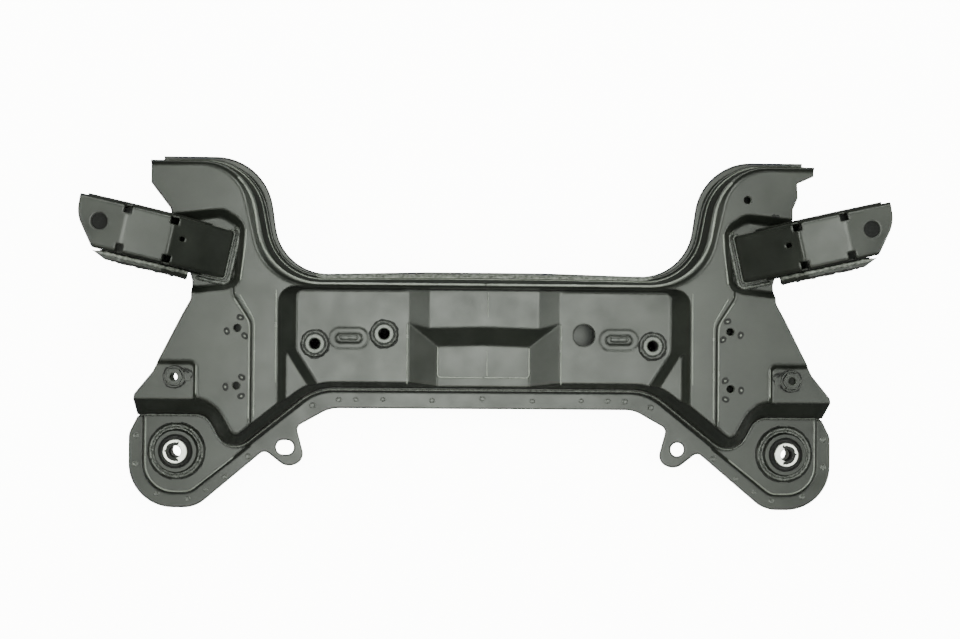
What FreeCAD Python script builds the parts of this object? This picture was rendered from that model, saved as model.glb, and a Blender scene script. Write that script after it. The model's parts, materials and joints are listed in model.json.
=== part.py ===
import FreeCAD, Part
import math, os

V = FreeCAD.Vector

# Sheet thickness and the two driving heights above the floor the subframe rests on
SHEET = 2.5
FLANGE_LOW = 17.5
RIM = 96.0

# Levels of the lower shell and of the rear flange
FLOOR_TOP = SHEET
FLANGE_TOP = FLANGE_LOW + SHEET
LOBE_PLATE = FLANGE_TOP + 8.0
LEDGE = FLANGE_TOP + 16.0
LAP_LOW = FLANGE_TOP + 6.0
SIDE_FLOOR = FLANGE_TOP + 16.0

# Levels of the upper shell, each one a press depth below the rim
STRIP = RIM - 5.0
OUTER_PLATE = RIM - 8.0
NUT_PAD = RIM - 13.0
FACET = RIM - 17.0
HORN_POCKET = RIM - 20.0
CENTRE_PANEL = RIM - 30.0
LIP_TOP = RIM - 38.0
TROUGH = CENTRE_PANEL - 5.0
RECESS_FLOOR = CENTRE_PANEL - 23.0
RECESS_RISE = 1.5
PAD_FLOOR = CENTRE_PANEL - 1.2

# Reach of the cutting blocks beyond the part, and where the free front edges begin
FRONT_END = 170.0
FLANGE_FRONT = -60.0
FAR = 520.0
DEEP = 400.0
BELOW = -60.0
SKY = RIM + 44.0

# Overrun of a cutting block past the face it opens, and the smallest radius a corner keeps
OVER = 1.0
LEAST_R = 0.6
TINY = 1e-6
# Share of the half width that a slot's corner radius takes, so that its short ends stay flat
SLOT_ROUND = 0.999

# Wall slopes, mm sideways for each mm of height
FRONT_SLOPE = 0.25
CURVE_SLOPE = 0.23
EAR_SLOPE = 0.05
LOBE_SLOPE = 0.36
REAR_SLOPE = 0.22
RIM_SLOPE = 0.4
RIM_CURVE_SLOPE = 1.8
STEP_SLOPE = 1.0
SIDE_WALL_SLOPE = 0.86
CENTRE_FRONT_SLOPE = 0.08
TRAY_SLOPE = 0.3
POCKET_SLOPE = 0.6
LEDGE_WIDTH = SHEET * math.sqrt(1 + REAR_SLOPE ** 2)

# Radii of the pressed edges
CREST_R = 3.5
FLOOR_R = 5.0
EDGE_R = 2.5
REAR_EDGE_R = 4.0
PANEL_R = 4.0
RECESS_R = 6.0

# How far behind the rim and beside the facet the strip's rounded edges end
STRIP_EDGE_SIDE = 24.0
STRIP_EDGE_FRONT = 6.0
PLATE_EDGE_SIDE = 4.0

# Shallow oblong pads of the middle panel, each with a raised bar
PAD = (164.0, -23.5)
PAD_SIZE = (46.0, 24.0)
PAD_BAR_SIZE = (29.0, 8.5)
PAD_BAR_RISE = 2.4

# Rear bush
BUSH = (374.5, -163.0)
HOLE_R = 7.4
INNER_R = 11.0
FLARE_R = 14.8
HOUSING_R = 25.0
OUTER_SLEEVE_R = HOUSING_R - 2.5
RUBBER_R = OUTER_SLEEVE_R - 1.5
HOUSING_FLANGE_R = HOUSING_R + 9.5
HOUSING_LOW = 3.0
HOUSING_HIGH = LOBE_PLATE + 10.0
HOUSING_FLANGE = 3.0
HOUSING_FLANGE_EDGE = 2.0
HOUSING_FILLET = 3.0
SLEEVE_LIP = 1.0
SLEEVE_LIP_HIGH = 1.8
SLEEVE_LIP_EDGE = 0.8
RUBBER_SUNK = 2.0
RUBBER_TOP_SUNK = 1.0
RUBBER_DISH = 2.0
RUBBER_DISH_WIDE = 4.0
RUBBER_SHOULDER = 2.5
INNER_HIGH = LOBE_PLATE + 17.0
INNER_FLARE = 4.0
INNER_EDGE = 0.8

# Steering rack tubes and the plain access hole beside them
TUBE_R = 12.0
TUBE_BORE_R = 6.5
TUBE_STAND = 3.0
TUBE_EDGE = 1.0
RACK_OUTER = (205.0, -30.5)
RACK_INNER = (121.5, -18.0)
ACCESS_R = 13.0

# Stabiliser bar holes with their three locating slots
BAR_HOLES = ((296.5, -12.5), (297.0, -81.5))
BAR_SLOTS = (((293.0, 0.0, 10), (309.0, -16.5, 70), (287.5, -22.0, 40)),
             ((290.5, -71.5, 30), (310.0, -83.0, 80), (291.0, -94.0, -30)))
SLOT_LONG = 6.0
SLOT_WIDE = 3.4

# Control arm fixings
ARM_NUT = (371.0, -71.5)
ARM_HOLE_R = 6.6
EAR_NUT = (316.0, 147.0)

# Threaded nuts, as plain bores at the core size, each with a pilot collar in the hole of its sheet
NUT_BORE_R = 5.1
PILOT_R = 6.2
PILOT_HOLE_R = 6.4
PILOT_SUNK = 0.5

# Locating tabs
TAB = (243.0, -158.5)
TAB_HOLE_R = 8.4
TAB_SLOT = 22.0
TAB_SLOT_R = 8.8

# Horns: the place of the root, the turn in plan, and the heights of the tip
HORN_ROOT = (314.5, 76.5)
HORN_TURN = 12.5
HORN_HALF = 29.0
HORN_TOP = RIM + 69.0
HORN_LOW = HORN_TOP - 43.0
HORN_HOLE = (138.0, 2.0)
HORN_HOLE_R = 9.5
HORN_FOLD_R = 5.0
HORN_FIT = 0.2
HORN_FLANGE = 8.0
RELIEF_LONG = 9.0
RELIEF_WIDE = 9.5
RELIEF_DEEP = 11.0
HORN_VENT = (44.5, 4.0)
HORN_VENT_R = 2.8
LOWER_HOLE = (87.0, 0.0)
LOWER_HOLE_R = 6.0
LOWER_SHORT = 6.0
FREE_OVER = 3.0 * SHEET

# Side views of the horn: distance from the root, height and corner radius
HORN_SPINE = [(-7, HORN_POCKET), (56, HORN_TOP - 15, 8), (109, HORN_TOP, 14), (180, HORN_TOP)]
HORN_SPINE_EDGE = [(180, HORN_TOP - 26), (109, HORN_TOP - 26), (60, HORN_TOP - 47), (20, HORN_POCKET + 8),
                   (19.5, HORN_POCKET)]
HORN_BELLY = [(20, HORN_POCKET), (34, HORN_POCKET, 8), (66, HORN_LOW - 14, 12), (107, HORN_LOW, 14),
              (180, HORN_LOW)]
HORN_BELLY_EDGE = [(180, HORN_TOP - 19), (109, HORN_TOP - 19), (62, HORN_TOP - 35), (24, HORN_POCKET + 10)]
HORN_TIP = [(-60, -60), (126, -60), (137, -33, 6), (165, 4, 40), (168, 60), (-60, 60)]
HORN_FLANGE_PLAN = [(34, -60), (122, -60), (122, -41), (144, -31), (144, 0), (34, 0)]


# Nuts, cages and the webs inside the control arm pockets
BAR_NUT_R = 9.5
BAR_NUT_HIGH = 9.0
BAR_ARM = 2.0
BAR_LUG = 4.8
BAR_LUG_PLAY = 0.6
CAGE = 1.2
CAGE_R = 12.5
CAGE_WALL = 1.6
CAGE_HIGH = 7.0
CAGE_GAP = 9.0
CAGE_TURN = 32.0
CAGE_TONGUE = 6.5
ARM_NUT_WIDE = 19.0
ARM_NUT_HIGH = 8.0
ARM_COLLAR_R = 8.2
ARM_COLLAR_HIGH = 1.5
EAR_NUT_HIGH = 9.0
WELD = 4.0
WELD_CREST = 0.7 * WELD
WELD_RISE = 1.4
WEB_X = 262.0
WEB_FLANGE = 14.0
WEB_REAR = -92.0
WEB_FRONT = 20.0

# Stiffening beads and drain holes in the floor of the lower shell
BEADS = ((0.0, -21.0, 90.0, 9.0), (118.0, 14.0, 84.0, 9.0), (118.0, -56.0, 84.0, 9.0))
BEAD_RISE = 4.0
DRAINS = ((48.0, 12.0), (180.0, -4.0), (55.0, -52.0))
DRAIN_R = 6.0

# Outlines: half of each, x outward, y to the front; a third number is the corner radius
LIP = [(70, 57.5), (245.5, 53, 64), (266, 195, 69.5), (389, 195)]
BODY = [(60, 43), (255, 41, 73), (284, 187, 67), (FAR, 187), (FAR, -93.5),
        (324, -93.5, 45), (298, -141, 5), (210, -70.3, 79)]
BODY_SLOPES = [FRONT_SLOPE, CURVE_SLOPE, EAR_SLOPE, 0, LOBE_SLOPE, LOBE_SLOPE, REAR_SLOPE, REAR_SLOPE]
RIM_INSIDE = [(60, 38), (266, 40, 70), (298, 183, 55), (FAR, 183), (FAR, -DEEP)]
RIM_SLOPES = [RIM_SLOPE, RIM_CURVE_SLOPE, RIM_SLOPE, 0, 0]
FLANGE = [(423, -120, 10), (434, -142, 20), (434, -233, 55), (352, -233, 40), (268, -162, 8),
          (240, -184, 18), (218, -174, 14), (229, -133, 8), (188, -110, 40)]
LEFT_EDGE = [(400, 300), (400, 160), (377, 130), (352, 44, 6), (352, 22, 10), (362, 4, 12),
             (397, -65, 8), (419, -92, 4)]
RIGHT_EDGE = [(396, 300), (396, 176, 1), (376, 167, 1), (377, 150, 2), (371, 136, 2), (371, 123, 2),
              (350, 44, 6), (352, 22, 10), (362, 4, 12), (397, -65, 8), (419, -92, 4)]
LOBE = [(417, -60), (417, -216, 38), (358, -216, 24), (285, -157.5), (285, -60)]
LOBE_RISE_SLOPE = 0.35
PLATE = [(281, -DEEP), (281, -6, 14), (302, 27, 6), (305, 60), (FAR, 60), (FAR, -DEEP)]
NUT_PAD_EDGE = [(349, -DEEP), (349, -56.5, 5), (FAR, -56.5), (FAR, -DEEP)]
FACET_EDGE = [(238, -DEEP), (238, -44), (150, -44), (150, -DEEP)]
HORN_POCKET_EDGE = [(297, 109, 12), (302, 41, 14), (347, 36, 12), (FAR, 75), (FAR, 97), (316, 121, 14)]
CENTRE = [(60, 36), (227, 36, 9), (227, -38, 14), (174, -120.7), (174, -DEEP)]
TROUGH_HALF = (92, 66)
RECESS_HALF = (92, 56)
RECESS_FRONT = (-4, -33)
SKIRT_FRONT = 12.0
SKIRT_REAR = -60.0

# Outlines of the lower shell
LOWER_INSET = 1.0
BUTT_GAP = 0.5
LIP_CORNER = (LIP[-1][0] - 3, EAR_NUT[1] + 3)
LOBE_FRONT = -98.0
LOBE_INNER = 225.0
LOWER_REAR = [(417, -107, 6), (347, -113, 12), (323, -177, 8), (300, -177, 8), (231, -130, 10),
              (188, -110, 40)]
LIP_WALL = [(60, 49), (249.5, 44.5, 72), (274.5, 186, 61), (FAR, 186), (FAR, -DEEP)]
LIP_WALL_SLOPES = [0.12, 0.12, 0.12, 0, 0]
SIDE_TRAY = [(232, 240), (232, -78, 10), (306, -152, 5), (333, -104, 10), (FAR, -104), (FAR, 240)]
DEEP_TRAY = [(60, 30), (222, 30, 24), (222, -52, 26), (190, -73, 26)]
TRAY_R = 8.0


def mirrored(points):
    return [(-p[0],) + tuple(p[1:]) for p in reversed(points)]


def spread(points):
    # closed outline of a half given from front to rear
    return list(points) + mirrored(points)


def spread_slopes(slopes):
    # the slopes of the edges of a spread outline: each one belongs to the edge after its point
    return list(slopes) + list(reversed(slopes[:-1])) + [slopes[0]]


def offset(points, distances):
    # moves every edge of a closed outline outward by its own distance
    n = len(points)
    if not isinstance(distances, (list, tuple)):
        distances = [distances] * n
    area = sum(points[k][0] * points[(k + 1) % n][1] - points[(k + 1) % n][0] * points[k][1]
               for k in range(n))
    side = 1.0 if area > 0 else -1.0
    lines = []
    for k in range(n):
        a, b = points[k], points[(k + 1) % n]
        dx, dy = b[0] - a[0], b[1] - a[1]
        long = math.hypot(dx, dy)
        ux, uy = dx / long, dy / long
        nx, ny = side * uy, -side * ux
        d = distances[k]
        lines.append((a[0] + nx * d, a[1] + ny * d, ux, uy, d))
    moved = []
    for k in range(n):
        x0, y0, ux0, uy0, d0 = lines[k - 1]
        x1, y1, ux1, uy1, d1 = lines[k]
        cross = ux0 * uy1 - uy0 * ux1
        if abs(cross) < TINY:
            x, y = x1, y1
        else:
            t = ((x1 - x0) * uy1 - (y1 - y0) * ux1) / cross
            x, y = x0 + ux0 * t, y0 + uy0 * t
        r = points[k][2] if len(points[k]) > 2 else 0
        if r:
            turn = side * cross
            r = max(LEAST_R, r + (d0 + d1) / 2 * (1 if turn > 0 else -1))
            moved.append((x, y, r))
        else:
            moved.append((x, y))
    return moved


def outline(points, z):
    # wire through the points with an arc at each corner that has a radius
    n = len(points)
    starts, ends, arcs = [], [], []
    for k in range(n):
        p = V(points[k][0], points[k][1], z)
        r = points[k][2] if len(points[k]) > 2 else 0
        if not r:
            starts.append(p)
            ends.append(p)
            arcs.append(None)
            continue
        a = (V(points[k - 1][0], points[k - 1][1], z) - p).normalize()
        q = points[(k + 1) % n]
        b = (V(q[0], q[1], z) - p).normalize()
        half = a.getAngle(b) / 2
        reach = r / math.tan(half)
        middle = (a + b).normalize()
        starts.append(p + a * reach)
        ends.append(p + b * reach)
        arcs.append(Part.Arc(starts[k], p + middle * (r / math.sin(half) - r), ends[k]).toShape())
    edges = []
    for k in range(n):
        if arcs[k]:
            edges.append(arcs[k])
        nxt = (k + 1) % n
        if ends[k].distanceToPoint(starts[nxt]) > TINY:
            edges.append(Part.makeLine(ends[k], starts[nxt]))
    return Part.Wire(edges)


def prism(points, low, high):
    return Part.Face(outline(points, low)).extrude(V(0, 0, high - low))


def loft(low_points, low, high_points, high):
    return Part.makeLoft([outline(low_points, low), outline(high_points, high)], True, True)


def tapered(points, level, low, high, slopes):
    # drafted block: the outline belongs to level, and each wall leans out toward the bottom
    def at(z):
        return offset(points, [s * (level - z) for s in slopes])
    return loft(at(low), low, at(high), high)


def thin(slope, t):
    # sideways distance between the two faces of a sheet that leans by slope
    return t * math.sqrt(1 + slope * slope)


def hollow(points, level, slopes, t, high=SKY):
    # pressed-in tool: the outline is its floor at level, and its walls open toward the top
    slopes = slopes if isinstance(slopes, list) else [slopes] * len(points)
    floor = level - t
    at_floor = offset(points, [thin(s, t) - s * t for s in slopes])
    at_top = offset(points, [thin(s, t) + s * (high - level) for s in slopes])
    return loft(at_floor, floor, at_top, high)


def raised(points, level, slope, t, foot):
    # pressed-up block: the outline is its top at level, and its walls open toward the foot
    slopes = [slope] * len(points)
    return tapered(offset(points, -thin(slope, t)), level, foot, level - t, slopes)


def middle(edge):
    return edge.valueAt((edge.FirstParameter + edge.LastParameter) / 2)


def level_edges(shape, z, x=(0, FAR - OVER), y=(OVER - DEEP, DEEP)):
    # edges that lie at height z, with the middle inside the given ranges of x, either side, and of y
    found = []
    for edge in shape.Edges:
        p = middle(edge)
        level = all(abs(q.z - z) < SHEET / 50 for q in [p] + [v.Point for v in edge.Vertexes])
        if level and x[0] < abs(p.x) < x[1] and y[0] < p.y < y[1]:
            found.append(edge)
    return found


def soften(shape, radius, edges):
    # rounds the edges, and leaves them sharp where a changed size leaves no room for the radius
    try:
        rounded = shape.makeFillet(radius, edges)
    except Part.OCCError:
        return shape
    return rounded if rounded.isValid() else shape


def mirror(shape):
    return shape.mirror(V(0, 0, 0), V(1, 0, 0))


def both(shape):
    return [shape, mirror(shape)]


def bar(x0, x1, y0, y1, z0, z1):
    return Part.makeBox(x1 - x0, y1 - y0, z1 - z0, V(x0, y0, z0))


def rod(x, y, z0, z1, r):
    return Part.makeCylinder(r, z1 - z0, V(x, y, z0))


def tube(x, y, z0, z1, r, bore):
    return rod(x, y, z0, z1, r).cut(rod(x, y, z0, z1, bore))


def slot_outline(x, y, long, wide):
    # outline with full round ends, in the middle at x, y
    h, w = long / 2, wide / 2
    r = w * SLOT_ROUND
    return [(x - h, y - w, r), (x + h, y - w, r), (x + h, y + w, r), (x - h, y + w, r)]


def oblong(x, y, z0, z1, long, r, turn=0.0):
    # slot-shaped block of full length long, turned about its middle
    block = prism(slot_outline(0, 0, long, 2 * r), z0, z1)
    block.rotate(V(0, 0, 0), V(0, 0, 1), turn)
    block.translate(V(x, y, 0))
    return block


def trench(halves, top, floor, rise, y0, y1, t):
    # long press with leaning sides and a faint crease along its middle
    half_top, half_floor = halves
    slope = (half_top - half_floor) / (top - floor)
    low = half_floor + thin(slope, t) - slope * t
    high = half_floor + thin(slope, t) + slope * (SKY - floor)
    pts = [(-high, SKY), (-low, floor - t), (0, floor + rise - t), (low, floor - t), (high, SKY)]
    face = Part.Face(Part.makePolygon([V(x, y0, z) for x, z in pts + pts[:1]]))
    return face.extrude(V(0, y1 - y0, 0))


# Upper shell
def upper_body(t):
    slopes = spread_slopes(BODY_SLOPES)
    outside = offset(spread(BODY), [-thin(s, t) for s in slopes])
    body = tapered(outside, RIM, 0, RIM, slopes)
    if t:
        body = body.common(bar(-FAR, FAR, -DEEP, DEEP, 0, RIM - t))
    return soften(body, CREST_R - t, level_edges(body, RIM - t, y=(0, DEEP)))


def pressed(points, level, slopes, t, radius):
    # pressed-in tool with a rounded floor edge
    tool = hollow(points, level, slopes, t)
    return soften(tool, radius + t, level_edges(tool, level - t))


def recess_tool(t):
    # the middle recess, open to the rear, with a leaning front wall
    front_top, front_floor = RECESS_FRONT
    recess = trench(RECESS_HALF, CENTRE_PANEL, RECESS_FLOOR, RECESS_RISE, -DEEP, DEEP, t)
    slope = (front_top - front_floor) / (CENTRE_PANEL - RECESS_FLOOR)
    low = front_floor + thin(slope, t) - slope * t
    high = front_floor + thin(slope, t) + slope * (SKY - RECESS_FLOOR)
    under = BELOW
    points = [(-DEEP, under), (low, under), (low, RECESS_FLOOR - t), (high, SKY), (-DEEP, SKY)]
    side = Part.makePolygon([V(-FAR, y, z) for y, z in points + points[:1]])
    return recess.common(Part.Face(side).extrude(V(2 * FAR, 0, 0)))


def upper_hollows(t):
    # everything pressed down from the rim level
    tools = [pressed(spread(RIM_INSIDE), STRIP, spread_slopes(RIM_SLOPES), t, FLOOR_R)]
    for points, level, slope in ((PLATE, OUTER_PLATE, STEP_SLOPE), (NUT_PAD_EDGE, NUT_PAD, STEP_SLOPE),
                                 (FACET_EDGE, FACET, SIDE_WALL_SLOPE)):
        tools += both(hollow(points, level, slope, t))
    tools += both(pressed(HORN_POCKET_EDGE, HORN_POCKET, POCKET_SLOPE, t, PANEL_R))
    slopes = spread_slopes([CENTRE_FRONT_SLOPE] + [SIDE_WALL_SLOPE] * 4)
    tools.append(pressed(spread(CENTRE), CENTRE_PANEL, slopes, t, PANEL_R))
    front = CENTRE[0][1]
    tools.append(trench(TROUGH_HALF, CENTRE_PANEL, TROUGH, RECESS_RISE, -DEEP, front + t, t))
    tools += both(hollow(slot_outline(*PAD, *PAD_SIZE), PAD_FLOOR, STEP_SLOPE, t))
    return tools + [recess_tool(t)]


def upper_form(t):
    form = upper_body(t).cut(upper_hollows(t))
    bars = both(raised(slot_outline(*PAD, *PAD_BAR_SIZE), PAD_FLOOR + PAD_BAR_RISE, STEP_SLOPE, t, TROUGH))
    return form.fuse(bars).removeSplitter()


def upper_skin():
    # outer face of the shell with its pressed edges rounded
    form = upper_form(0)
    bead, front = PLATE[1][0], CENTRE[0][1]
    inner, outer = FACET_EDGE[0][0] + STRIP_EDGE_SIDE, bead + PLATE_EDGE_SIDE
    for radius, edges in ((REAR_EDGE_R, dict(z=OUTER_PLATE, y=(OVER - DEEP, NUT_PAD_EDGE[1][1]))),
                          (EDGE_R, dict(z=STRIP, x=(0, inner), y=(WEB_REAR, front))),
                          (EDGE_R, dict(z=STRIP, x=(outer, FAR - OVER), y=(front + STRIP_EDGE_FRONT, DEEP))),
                          (EDGE_R, dict(z=TROUGH)),
                          (RECESS_R, dict(z=RECESS_FLOOR))):
        form = soften(form, radius, level_edges(form, **edges))
    return form


def side_edges(edge=RIGHT_EDGE, rear=LOWER_REAR):
    return edge + rear


def edge_outline(inset=0.0):
    # free edges of the sides, then the rear flange, with the two sides trimmed differently
    points = side_edges(RIGHT_EDGE, FLANGE) + mirrored(side_edges(LEFT_EDGE, FLANGE))
    return offset(points, -inset) if inset else points


def rack_places():
    return [RACK_OUTER, (-RACK_OUTER[0], RACK_OUTER[1]), (-RACK_INNER[0], RACK_INNER[1])]


def upper_holes():
    tools = []
    for x, y in rack_places():
        tools.append(rod(x, y, FLANGE_TOP, SKY, TUBE_R))
    tools.append(rod(RACK_INNER[0], RACK_INNER[1], FLANGE_TOP, SKY, ACCESS_R))
    side = []
    for (x, y), slots in zip(BAR_HOLES, BAR_SLOTS):
        side.append(rod(x, y, LIP_TOP, SKY, PILOT_HOLE_R))
        side += [oblong(a, b, LIP_TOP, SKY, SLOT_LONG, SLOT_WIDE / 2, turn) for a, b, turn in slots]
    side.append(rod(*ARM_NUT, LIP_TOP, SKY, PILOT_HOLE_R))
    for tool in side:
        tools += both(tool)
    tools.append(rod(*EAR_NUT, LIP_TOP, SKY, PILOT_HOLE_R))
    return tools


def upper_shell():
    shell = upper_skin().cut(upper_form(SHEET))
    shell = shell.common(prism(edge_outline(), 0, SKY))
    back = [-SKIRT_FRONT] * 3 + [0] * (len(BODY) - 3)
    skirt = bar(-FAR, FAR, SKIRT_REAR, DEEP, BELOW, LIP_TOP)
    skirt = skirt.cut(prism(offset(spread(BODY), spread_slopes(back)), BELOW, LIP_TOP))
    under = bar(-FAR, FAR, -DEEP, DEEP, BELOW, LAP_LOW)
    return shell.cut([skirt, under] + upper_holes())


# Rear flange with both lobes, whose upstand laps the rear wall of the upper shell
def flange_form(t):
    slopes = spread_slopes(BODY_SLOPES)
    lap = [0] * (len(BODY) - 2) + [LEDGE_WIDTH] * 2
    walls = [a - thin(b, t) for a, b in zip(spread_slopes(lap), slopes)]
    upstand = tapered(offset(spread(BODY), walls), RIM, 0, LEDGE + 2 * t, slopes)
    lobes = both(tapered(offset(LOBE, -t), FLANGE_TOP, 0, LOBE_PLATE - t, [LOBE_RISE_SLOPE] * len(LOBE)))
    return upstand.fuse([bar(-FAR, FAR, -DEEP, DEEP, 0, FLANGE_TOP - t)] + lobes)


def tab_holes():
    return [rod(*TAB, BELOW, LEDGE, TAB_HOLE_R), oblong(-TAB[0], TAB[1], BELOW, LEDGE, TAB_SLOT, TAB_SLOT_R)]


def rear_flange():
    slopes = spread_slopes(BODY_SLOPES)
    beam = tapered(spread(BODY), RIM, 0, RIM, slopes)
    sheet = flange_form(0).cut(flange_form(SHEET)).cut(beam)
    rear = bar(-FAR, FAR, -DEEP, FLANGE_FRONT, 0, LEDGE)
    sheet = sheet.common(prism(edge_outline(), 0, LEDGE).common(rear))
    return sheet.cut(tab_holes() + both(rod(*BUSH, BELOW, LEDGE, HOUSING_R)))


# Lower shell
def lower_form(t):
    slopes = spread_slopes(LIP_WALL_SLOPES)
    wall = offset(spread(LIP_WALL), [thin(s, t) for s in slopes])
    inside = tapered(wall, LIP_TOP, BELOW, SKY, [-s for s in slopes])
    form = bar(-FAR, FAR, -DEEP, DEEP, BELOW, LIP_TOP - t).cut(inside)
    tray = tapered(offset(SIDE_TRAY, -thin(TRAY_SLOPE, t)), FLANGE_LOW, BELOW, SIDE_FLOOR - t,
                   [TRAY_SLOPE] * len(SIDE_TRAY))
    form = form.fuse([bar(-FAR, FAR, -DEEP, DEEP, BELOW, FLANGE_LOW - t)] + both(tray))
    form = form.cut(pressed(spread(DEEP_TRAY), FLOOR_TOP, TRAY_SLOPE, t, TRAY_R))
    beads = []
    for x, y, long, wide in BEADS:
        bead = raised(slot_outline(x, y, long, wide), FLOOR_TOP + BEAD_RISE, STEP_SLOPE, t, BELOW)
        beads += both(bead) if x else [bead]
    return form.fuse(beads).removeSplitter()


def lower_outline(grow=0.0):
    # the front lip, the sides drawn in a little from those of the upper shell, and the rear edge
    sides = offset(side_edges() + mirrored(side_edges(LEFT_EDGE)), grow - LOWER_INSET)
    n = len(RIGHT_EDGE + LOWER_REAR)
    right = [p for p in sides[:n] if p[1] < FRONT_END]
    left = [p for p in sides[n:] if p[1] < FRONT_END]
    front = LIP + [LIP_CORNER]
    return front + right + left + mirrored(front)


def lower_shell():
    shell = lower_form(0).cut(lower_form(SHEET))
    shell = shell.common(prism(lower_outline(), BELOW, SKY))
    tools = []
    for place in (ARM_NUT, EAR_NUT):
        tools += both(rod(*place, FLANGE_LOW, LIP_TOP, ARM_HOLE_R))
    for place in DRAINS:
        tools += both(rod(*place, BELOW, FLANGE_LOW, DRAIN_R))
    return shell.cut(tools)


def lobe_plates():
    # flat plates that close the lobes and tabs from below, beside the lower shell
    low, high = FLANGE_LOW - SHEET, FLANGE_LOW
    whole = prism(edge_outline(LOWER_INSET), low, high)
    side = bar(LOBE_INNER, FAR, -DEEP, LOBE_FRONT, low, high)
    taken = prism(lower_outline(BUTT_GAP), low, high)
    holes = tab_holes() + both(rod(*BUSH, BELOW, LEDGE, HOUSING_R))
    return {"lobe_plate_" + name: whole.common(half).cut([taken] + holes)
            for name, half in (("right", side), ("left", mirror(side)))}


# Horns, drawn flat along x and then turned and moved to the side of the shell
def side_profile(points, half):
    # extrudes a side view across the horn; the second number of each point is the height
    block = prism(points, -half, half)
    block.rotate(V(0, 0, 0), V(1, 0, 0), 90)
    return block


def set_horn(shape):
    shape.rotate(V(0, 0, 0), V(0, 0, 1), HORN_TURN)
    shape.translate(V(HORN_ROOT[0], HORN_ROOT[1], 0))
    return shape


def fold_edges(block, fold):
    # edges of the two side faces that follow the folded line of the side view
    path = Part.makePolygon([V(p[0], 0, p[1]) for p in fold])
    found = []
    for edge in block.Edges:
        p = middle(edge)
        on_side = edge.BoundBox.YLength < 0.01
        if on_side and path.distToShape(Part.Vertex(V(p.x, 0, p.z)))[0] < SHEET / 2:
            found.append(edge)
    return found


def channel(fold, free, half, t):
    # folded channel: the fold runs along the first points, and the rest of the side view is open
    points = fold + free
    walls = [-t] * (len(fold) - 1) + [FREE_OVER] * (len(free) + 1)
    inside = offset(points, walls)
    folded = []
    for outline_points, h, r in ((points, half, HORN_FOLD_R), (inside, half - t, HORN_FOLD_R - t)):
        block = side_profile(outline_points, h)
        folded.append(soften(block, r, fold_edges(block, outline_points[:len(fold)])))
    return folded[0].cut(folded[1])


def horn_tip(grow=0.0):
    # plan of the free end, longer or shorter by grow
    moved = [(p[0] + grow,) + tuple(p[1:]) if p[0] > HORN_TIP[1][0] else p for p in HORN_TIP]
    return prism(moved, 0, HORN_TOP + FAR)


def horn_upper_channel():
    shape = channel(HORN_SPINE, HORN_SPINE_EDGE, HORN_HALF, SHEET).common(horn_tip())
    high = HORN_TOP + SHEET
    tools = [rod(*HORN_HOLE, HORN_TOP - 2 * SHEET, high, HORN_HOLE_R),
             rod(*HORN_VENT, HORN_LOW, high, HORN_VENT_R)]
    for s, z in (HORN_SPINE[1][:2], HORN_SPINE[2][:2]):
        for q in (-HORN_HALF, HORN_HALF - RELIEF_WIDE):
            tools.append(bar(s - RELIEF_LONG / 2, s + RELIEF_LONG / 2, q - OVER, q + RELIEF_WIDE + OVER,
                             z - RELIEF_DEEP, high))
    return set_horn(shape.cut(tools))


def horn_lower_channel():
    half = HORN_HALF + HORN_FIT + SHEET
    shape = channel(HORN_BELLY, HORN_BELLY_EDGE, half, SHEET).common(horn_tip(-LOWER_SHORT))
    edge = [p[:2] for p in reversed(HORN_BELLY_EDGE)]
    under = [(p[0] + OVER, p[1] - SHEET) for p in HORN_BELLY_EDGE]
    flange = prism(edge + under, 0, HORN_FLANGE)
    flange.rotate(V(0, 0, 0), V(1, 0, 0), 90)
    flange.translate(V(0, -half, 0))
    flange = flange.common(prism(HORN_FLANGE_PLAN, 0, HORN_TOP))
    shape = shape.fuse(flange).cut(rod(*LOWER_HOLE, 0, HORN_TOP, LOWER_HOLE_R))
    return set_horn(shape.removeSplitter())


# Rear bushes
def bush(make):
    shape = make()
    shape.translate(V(BUSH[0], BUSH[1], 0))
    return shape


def turned(points):
    # solid of revolution from radius and height pairs
    face = Part.Face(Part.makePolygon([V(r, 0, z) for r, z in points + points[:1]]))
    return face.revolve(V(0, 0, 0), V(0, 0, 1), 360)


def bush_housing():
    r = OUTER_SLEEVE_R
    top = LOBE_PLATE + HOUSING_FLANGE
    return turned([(r, HOUSING_LOW), (HOUSING_R, HOUSING_LOW), (HOUSING_R, LOBE_PLATE),
                   (HOUSING_FLANGE_R, LOBE_PLATE), (HOUSING_FLANGE_R, LOBE_PLATE + HOUSING_FLANGE / 2),
                   (HOUSING_FLANGE_R - HOUSING_FLANGE_EDGE, top), (HOUSING_R + HOUSING_FILLET, top),
                   (HOUSING_R, top + HOUSING_FILLET), (HOUSING_R, HOUSING_HIGH), (r, HOUSING_HIGH)])


def bush_outer_sleeve():
    lip = HOUSING_R + SLEEVE_LIP
    top = HOUSING_HIGH + SLEEVE_LIP_HIGH
    return turned([(RUBBER_R, HOUSING_LOW), (OUTER_SLEEVE_R, HOUSING_LOW), (OUTER_SLEEVE_R, HOUSING_HIGH),
                   (lip, HOUSING_HIGH), (lip, top - SLEEVE_LIP_EDGE), (lip - SLEEVE_LIP, top),
                   (RUBBER_R, top)])


def bush_rubber():
    low = HOUSING_LOW + RUBBER_SUNK
    high = HOUSING_HIGH - RUBBER_TOP_SUNK
    neck, under = FLARE_R - OVER, INNER_HIGH - INNER_FLARE
    return turned([(INNER_R, low), (RUBBER_R - RUBBER_DISH_WIDE, low + RUBBER_DISH), (RUBBER_R, low),
                   (RUBBER_R, high), (RUBBER_R - RUBBER_SHOULDER, high - RUBBER_DISH),
                   (neck, high - RUBBER_DISH - OVER), (neck, under), (INNER_R, under)])


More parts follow.
